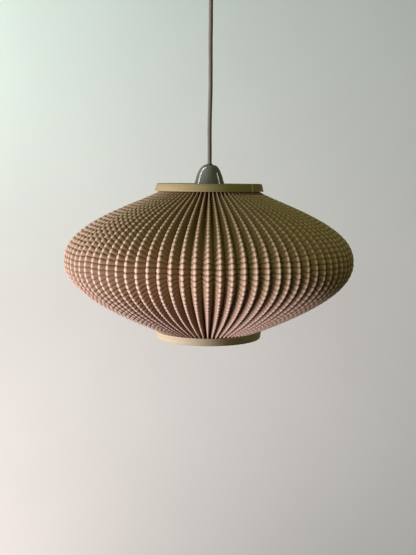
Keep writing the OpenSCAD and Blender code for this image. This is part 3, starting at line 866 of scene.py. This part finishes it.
def dome_cap():
    """Glossy dome with a hole for the flex's bush and a flange that sits on the skirt."""
    inner_top = CAP_TOP - CAP_WALL
    flange_top = CAP_BASE + FLANGE_H
    outer = dome_line(CAP_R, CAP_TOP, flange_top)
    outer = [p for p in outer if p[0] > CAP_HOLE_R + 0.9]
    inner = dome_line(CAP_R - CAP_WALL, inner_top, CAP_BASE)
    inner = [p for p in inner if p[0] > CAP_HOLE_R + 0.6]
    lip = [(CAP_HOLE_R, inner_top - 0.4), (CAP_HOLE_R, CAP_TOP - 0.3), (CAP_HOLE_R + 0.3, CAP_TOP)]
    flange = [
        (outer[-1][0] + 0.4, flange_top + 0.05), (FLANGE_R - 0.5, flange_top), (FLANGE_R, flange_top - 0.5),
        (FLANGE_R, CAP_BASE + 0.4), (FLANGE_R - 0.4, CAP_BASE),
    ]
    outline = lip + outer + flange + inner[::-1]
    obj = revolve("lampholder_dome", outline, RIM_Z, MATERIALS["cap_grey"], 128, smooth_deg=50)
    return stand_for(obj, "holder_cap")


def bush():
    """Soft sleeve with a lip, where the flex enters the dome."""
    outer, low, high = extent("cord_bush", RIM_Z)
    outline = rounded([
        (BUSH_BORE, low), (outer, low), (outer, BUSH_SEAT), (outer + BUSH_LIP, BUSH_SEAT + 0.2),
        (outer + BUSH_LIP / 3, high), (BUSH_BORE, high),
    ], 0.4)
    return stand_for(revolve("flex_bush", outline, RIM_Z, MATERIALS["grey_rubber"], 64), "cord_bush")


def screw_wave(pitch, depth, low, high):
    """Radius change of a rolled thread between two heights, in millimetres."""
    def shape(angle, radius, height):
        run = ease((height - low) / 1.5) * ease((high - height) / 1.5)
        wave = 0.5 - 0.5 * np.cos(TURN * height / pitch - angle)
        return radius - depth * run * wave
    return shape


def tube_outline(outer, inner, low, high, rows):
    """Section of a tube with rows of points along both walls, so that a thread can shape them."""
    heights = np.linspace(low, high, rows)
    return [(outer, z) for z in heights] + [(inner, z) for z in heights[::-1]]


def skirt():
    """Lampholder's lower part, threaded outside for the shade ring."""
    outer, low, high = extent("holder_skirt", RIM_Z)
    wave = screw_wave(SKIRT_PITCH, SKIRT_THREAD, low + SKIRT_PLAIN, high - SKIRT_PLAIN)

    def threaded_outside(angle, radius, height):
        return np.where(radius > outer - SKIRT_WALL / 2, wave(angle, radius, height), radius)

    outline = tube_outline(outer, outer - SKIRT_WALL, low, high, 121)
    obj = revolve("threaded_skirt", outline, RIM_Z, MATERIALS["grey_plastic"], 72, threaded_outside)
    return stand_for(obj, "holder_skirt")


def gripped(flutes, depth, inside):
    """Finger flutes on the part of a ring past the radius inside."""
    def shape(angle, radius, height):
        flute = (0.5 + 0.5 * np.cos(flutes * angle)) ** 3
        return np.where(radius > inside, radius - depth * flute, radius)
    return shape


def nut_outline(bore, outer, low, high, bevel, soft, clear=0.0):
    """Section of a ring nut with bevelled outer edges, its corners eased by soft. Its upper face is
    lower by clear, so that it doesn't lie in the face that it holds up."""
    return rounded([
        (bore, low), (outer - bevel, low), (outer, low + bevel),
        (outer, high - bevel), (outer - bevel, high - clear), (bore, high - clear),
    ], soft)


def shade_ring():
    """Ring with finger flutes that clamps the shade's spider."""
    _, low, high = extent("shade_ring", RIM_Z)
    bore = extent("holder_skirt", RIM_Z)[0] + THREAD_GAP
    outline = nut_outline(bore, RING_R, low, high, RING_BEVEL, 0.6)
    flutes = gripped(RING_FLUTES, RING_FLUTE_DEPTH, RING_R - 3)
    obj = revolve("fluted_shade_ring", outline, RIM_Z, MATERIALS["grey_plastic"], 192, flutes)
    return stand_for(obj, "shade_ring")


def screw_shell():
    """Rolled brass thread that takes the bulb."""
    outer, low, high = extent("screw_shell", RIM_Z)
    outline = tube_outline(outer, outer - SHELL_WALL, low, high, 80)
    thread = screw_wave(E27_PITCH, -SHELL_THREAD, low + SHELL_PLAIN, high - SHELL_PLAIN)
    obj = revolve("rolled_screw_shell", outline, RIM_Z, MATERIALS["brass"], 64, thread)
    return stand_for(obj, "screw_shell")


# ---- Bulb: millimetres from the top hoop's rim ----

BULB_R, BULB_END, NECK_TOP = extent("bulb_glass", RIM_Z)
GLASS_WALL = 1.0
NECK_R = 12.8
NECK_IN_CAP = 4.0
NECK_EASE = 12.0
SHOULDER_DEG = 35
BULB_CAP_WALL = 0.38
BULB_CAP_THREAD = 0.55


def glass_line(inset, steps=28):
    """Half outline of the glass from its neck to its end, in millimetres."""
    ball, middle = BULB_R - inset, BULB_END + BULB_R
    neck = NECK_R - inset
    a = math.radians(SHOULDER_DEG)
    joint = np.array([ball * math.cos(a), middle + ball * math.sin(a)])
    lean = joint + NECK_EASE * np.array([-math.sin(a), math.cos(a)])
    top = np.array([neck, NECK_TOP - NECK_IN_CAP])
    handle = top - (0, NECK_EASE)
    line = [(neck, NECK_TOP + inset)]
    for u in np.linspace(0, 1, steps // 2):
        line.append(tuple(
            top * (1 - u) ** 3 + 3 * handle * u * (1 - u) ** 2 + 3 * lean * u * u * (1 - u) + joint * u ** 3
        ))
    for angle in np.linspace(a, -math.pi / 2, steps)[1:]:
        line.append((max(ball * math.cos(angle), 0.0), middle + ball * math.sin(angle)))
    return line


def bulb_glass():
    """Hollow glass, open at its neck."""
    outline = glass_line(0) + glass_line(GLASS_WALL)[::-1]
    obj = revolve("bulb_globe", outline, RIM_Z, MATERIALS["opal_glass"], 96)
    return stand_for(obj, "bulb_glass")


def bulb_cap():
    """Thin metal cap with a rolled thread."""
    outer, low, high = extent("bulb_cap", RIM_Z)
    outline = tube_outline(outer, outer - BULB_CAP_WALL, low, high, 90)
    thread = screw_wave(E27_PITCH, BULB_CAP_THREAD, low + 4, high - 1)
    obj = revolve("threaded_bulb_cap", outline, RIM_Z, MATERIALS["cap_aluminium"], 64, thread)
    return stand_for(obj, "bulb_cap")


# ---- Ceiling fitting: millimetres from the ceiling ----

CUP_R, CUP_END, CUP_RIM = extent("canopy_cup", 0)
CUP_BASE_R = 42.5
CUP_WALL = 1.5
CUP_BEND = 8.0
CUP_HOLE_R = 5.6

NUT_R = 9.0
NUT_BEVEL = 0.6
NUT_FLUTES = 36
NUT_FLUTE_DEPTH = 0.45

# The sleeve's ribs get narrower by RELIEF_TAPER each on the way down
RELIEF_BORE = 3.02
RELIEF_RIBS = 7
RELIEF_RIB_PITCH = 2.4
RELIEF_RIB_R = 4.35
RELIEF_TAPER = 0.1
RELIEF_GROOVE = 0.55
RELIEF_END = -106.5


def canopy_cup():
    """Slightly flared cup with a rounded lower edge, a soft rim and a hole for the nipple."""
    middle = (CUP_BASE_R - CUP_BEND, CUP_END + CUP_BEND)
    inner = CUP_R - CUP_WALL
    outline = [
        (CUP_HOLE_R, CUP_END), *arc(middle, CUP_BEND, -90, 0, 14),
        (CUP_R, CUP_RIM - 0.6), (CUP_R - 0.3, CUP_RIM), (inner + 0.3, CUP_RIM), (inner, CUP_RIM - 0.6),
        *arc(middle, CUP_BEND - CUP_WALL, 0, -90, 14), (CUP_HOLE_R, CUP_END + CUP_WALL),
    ]
    obj = revolve("ceiling_cup_shell", outline, 0, MATERIALS["cup_plastic"], 128, smooth_deg=50)
    return stand_for(obj, "canopy_cup")


def canopy_nut():
    """Knurled nut that holds the cup up."""
    _, low, high = extent("canopy_nut", 0)
    bore = extent("hanger_nipple", 0)[0] + THREAD_GAP
    outline = nut_outline(bore, NUT_R, low, high, NUT_BEVEL, 0.3, clear=0.02)
    flutes = gripped(NUT_FLUTES, NUT_FLUTE_DEPTH, NUT_R - 1.5)
    obj = revolve("knurled_cup_nut", outline, 0, MATERIALS["brass"], 288, flutes)
    return stand_for(obj, "canopy_nut")


def bend_relief():
    """Ribbed sleeve: a ball in the gland, then a taper that hugs the flex past the second bend."""
    ball_r, _, ball_top = extent("bend_relief", 0)
    ball = arc((0, ball_top - ball_r), ball_r, 90, -28.65, 14)
    ribs = []
    for k in range(RELIEF_RIBS):
        z = ball_top - 8.8 - RELIEF_RIB_PITCH * k
        outer = RELIEF_RIB_R - RELIEF_TAPER * k
        inner = outer - RELIEF_GROOVE
        ribs += [(outer, z), (outer, z - 1.5), (inner, z - 1.65), (inner, z - 2.25)]
    tip = [
        (3.6, RELIEF_END + 3.1), (3.5, RELIEF_END), (RELIEF_BORE, RELIEF_END),
        (RELIEF_BORE, RELIEF_END + 7), (0, RELIEF_END + 7),
    ]
    obj = revolve("ribbed_bend_relief", ball + ribs + tip, 0, MATERIALS["grey_rubber"], 64, smooth_deg=35)
    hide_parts("bend_relief")
    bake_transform(obj)
    return obj


def core_wires():
    """The flex's two cores, from its stripped end to the terminals, above and below."""
    top = extent("ceiling_cord_tail", 0)[2]
    grip, insert = extent("holder_grip_bar", RIM_Z)[1], extent("holder_insert", RIM_Z)[2]
    for side, colour in ((1, "brown_core"), (-1, "blue_core")):
        upper = [
            (1.4, top), (1.4, top + 1), (2.4, top + 2.4), (6, top + 3.6), (11, top + 4.2),
            (13.5, top + 6.5), (13.5, -8), (12.5, -6.5), (8, -6.5),
        ]
        lower = [(1.4, grip - 1), (1.4, grip - 2), (2.4, grip - 3.4), (3.4, grip - 4.4), (4, insert + 1.2)]
        for place, line, level, radius, node in (
            ("ceiling", upper, 0, 1.1, "ceiling_wires"), ("holder", lower, RIM_Z, 0.8, "holder_wires"),
        ):
            points = [(side * x * MM, 0, level + z * MM) for x, z in line]
            obj = curve_piece(f"{place}_{colour}", points, radius * MM, MATERIALS[colour])
            stand_for(obj, node)


def flex():
    """The hanging flex, with the photo's slight waves."""
    points = [tuple(v * MM for v in p) for p in CORD_ROUTE_MM]
    obj = curve_piece("lamp_flex", points, CORD_D / 2, MATERIALS["flex_grey"])
    stand_for(obj, "flex_cord")


# ---- Room and light ----

BOWL_R = 3.6
BOWL_BEND = 1.4
FLOOR_Z = -2.4
BOWL_TOP = 2.2


def backdrop():
    """Pale floor that curves up into a wall all round."""
    s = Shader("pale_backdrop")
    s.set(Base_Color=s.mix(s.spread(s.noise(1.1, 2), 0, 1), (0.72, 0.715, 0.69), (0.75, 0.745, 0.72)))
    s.set(Roughness=0.95, Specular_IOR_Level=0.1)
    bend = arc((BOWL_R - BOWL_BEND, FLOOR_Z + BOWL_BEND), BOWL_BEND, -90, 0, 20)
    line = [(0.0, FLOOR_Z), *bend, (BOWL_R, BOWL_TOP)]
    angles = np.arange(128) * TURN / 128
    grid = np.array([[(r * math.cos(a), r * math.sin(a), z) for r, z in line] for a in angles])
    obj = grid_object("backdrop_bowl", grid, s.material, True, False, 60)
    weld(obj, 60)
    obj.data.flip_normals()
    obj.visible_diffuse = False
    obj.visible_shadow = False
    obj.visible_glossy = False
    obj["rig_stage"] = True
    return obj


GLOSSY_GROUP = "cap"
SHADE_AT = (0, 0, -0.48)
CAP_AT = (0, 0, -0.35)
LIGHTS = [
    # name, place, aim, size, watts, colour, what it lights
    ("window_front", (-1.62, -1.40, -0.95), SHADE_AT, (0.9, 1.1), 66, (0.74, 0.735, 1.0), "paper"),
    ("window_left", (-2.10, -0.60, -0.595), SHADE_AT, (0.9, 1.1), 78, (0.77, 0.78, 0.92), "rest"),
    ("low_left", (-1.81, -0.84, -1.41), SHADE_AT, (0.9, 0.9), 9.5, (1.0, 0.74, 1.0), "lamp"),
    ("high_left", (-0.72, -1.65, 0.78), SHADE_AT, (1.0, 1.0), 8.8, (0.80, 1.0, 0.5), "lamp"),
    ("right_fill", (2.08, -0.70, -0.288), SHADE_AT, (1.2, 1.4), 3.7, (0.86, 1.0, 0.48), "lamp"),
    ("front_fill", (-0.5, -2.05, -0.50), SHADE_AT, (1.2, 1.2), 3.5, (1.0, 0.88, 0.72), "paper"),
    ("back_fill", (1.2, 1.9, -0.10), SHADE_AT, (1.2, 1.2), 17, (0.95, 0.95, 0.85), "lamp"),
    ("cap_window", (-1.66, 0.29, 1.06), CAP_AT, (0.2, 2.2), 24, (0.95, 1.0, 1.0), "cap"),
    ("cap_strip", (2.06, -0.1, 0.4), CAP_AT, (0.1, 0.9), 5, (1.0, 1.0, 0.95), "cap"),
    ("wall_high", (-2.4, 1.6, 0.6), (0.38, 3.6, 0.3), (1.0, 1.6), 102, (0.80, 1.0, 0.91), "wall"),
    ("wall_front", (0, -1.2, 0.8), (0, -3.6, -0.4), (1.4, 1.0), 65, (0.95, 1.0, 0.95), "wall"),
    ("wall_left_side", (-2.2, -0.3, 0.8), (-3.6, -0.8, -0.4), (1.4, 1.0), 36, (0.95, 1.0, 0.95), "wall"),
    ("wall_right_side", (2.2, -0.3, 0.8), (3.6, -0.8, -0.4), (1.4, 1.0), 36, (0.95, 1.0, 0.95), "wall"),
    ("wall_low", (-1.2, 1.0, -2.1), (-0.5, 3.6, -1.6), (1.2, 0.8), 57, (1.0, 0.755, 0.80), "wall"),
]
AMBIENT = (0.9, 1.0, 0.8)
AMBIENT_STRENGTH = 0.004


def softbox(name, place, aim, size, power, colour, in_gloss, receivers):
    """A rectangular light on the receivers alone, seen mirrored in them only if in_gloss."""
    data = bpy.data.lights.new(name, "AREA")
    data.shape = "RECTANGLE"
    data.size, data.size_y = size
    data.energy = power
    data.color = colour
    light = bpy.data.objects.new(name, data)
    SCENE.collection.objects.link(light)
    light.location = place
    light.rotation_euler = (Vector(aim) - Vector(place)).to_track_quat("-Z", "Y").to_euler()
    light.visible_camera = False
    light.visible_glossy = in_gloss
    light.light_linking.receiver_collection = receivers


def room_light(bowl):
    """Soft lights for the lamp or parts of it, others for the wall behind it, and a weak even glow."""
    paper, cap = bpy.data.objects["paper_pleats"], bpy.data.objects["lampholder_dome"]
    lit = {
        "lamp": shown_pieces(), "paper": [paper], "rest": [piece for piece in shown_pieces() if piece != paper],
        "cap": [cap], "wall": [bowl],
    }
    groups = {}
    for group, objects in lit.items():
        groups[group] = bpy.data.collections.new(f"lit_{group}")
        for obj in objects:
            groups[group].objects.link(obj)
    for *light, group in LIGHTS:
        softbox(*light, group == GLOSSY_GROUP, groups[group])
    world = bpy.data.worlds.new("soft_room")
    world.use_nodes = True
    ambient = world.node_tree.nodes["Background"]
    ambient.inputs["Color"].default_value = (*AMBIENT, 1)
    ambient.inputs["Strength"].default_value = AMBIENT_STRENGTH
    SCENE.world = world
    SCENE.view_settings.view_transform = "Standard"


# ---- Assembly ----

make_camera()
flex()
dress_cad_nodes()
pleated_sheet()
wound_hoop("top_hoop_strip", "top_hoop", "bentwood", high_r=76.3, low_r=79.2, seam_deg=-40)
wound_hoop("bottom_hoop_strip", "bottom_hoop", "lower_bentwood", high_r=78.6, low_r=77.2, seam_deg=118)
inner_ring("top_ring_strip", "top_inner_ring")
inner_ring("bottom_ring_strip", "bottom_inner_ring")
dome_cap()
bush()
skirt()
shade_ring()
screw_shell()
bulb_glass()
bulb_cap()
canopy_cup()
canopy_nut()
bend_relief()
core_wires()
room_light(backdrop())
